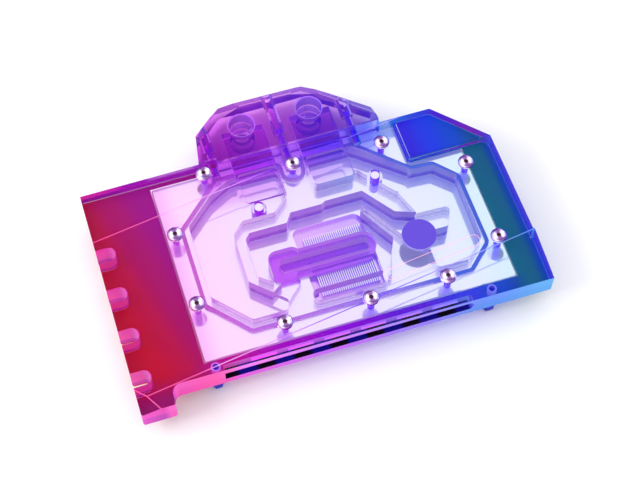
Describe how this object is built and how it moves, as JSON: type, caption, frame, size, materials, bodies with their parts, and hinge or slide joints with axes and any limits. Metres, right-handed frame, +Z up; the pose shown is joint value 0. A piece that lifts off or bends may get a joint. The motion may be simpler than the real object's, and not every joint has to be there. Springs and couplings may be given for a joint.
{
  "type": "gpu water block",
  "caption": "Graphics card water block: clear faceted cover over a nickel-plated cold plate with microfins, and a faceted terminal with G1/4 ports.",
  "frame": {"origin": "on the surface that the standoffs rest on, under the middle of the whole block", "axes": "+X to the right along the card, +Y to the terminal, +Z up through the cover"},
  "size_m": [0.206, 0.152, 0.025],
  "materials": {
    "clear_acrylic": "clear, machined",
    "nickel": "nickel-plated, polished",
    "jet_steel": "stainless sheet",
    "seal_rubber": "matt",
    "dark_acrylic": "clear, machined",
    "screw_steel": "satin",
    "insert_brass": "turned",
    "washer_chrome": "plated",
    "pin_steel": "ground",
    "standoff_blue": "anodised, dark blue",
    "strip_black": "solder mask",
    "led_white": "satin",
    "badge_violet": "plain, satin",
    "sheet_graded": "tinted film, crimson through purple to teal"
  },
  "bodies": {
    "root": {"cover": "clear_acrylic", "cold_plate": "nickel", "jet_plate": "jet_steel", "main_seal": "seal_rubber", "terminal": "dark_acrylic", "terminal_seal_left": "seal_rubber", "terminal_seal_right": "seal_rubber", "terminal_screws": "screw_steel", "terminal_inserts": "insert_brass", "cover_screws": "screw_steel", "cup_washers": "washer_chrome", "locating_pins": "pin_steel", "front_standoffs": "standoff_blue", "front_inserts": "insert_brass", "core_standoffs": "insert_brass", "rear_standoffs": "insert_brass", "led_strip": "strip_black", "led_chips": "led_white", "badge_disc": "badge_violet", "backing_sheet": "sheet_graded"}
  },
  "joints": []
}
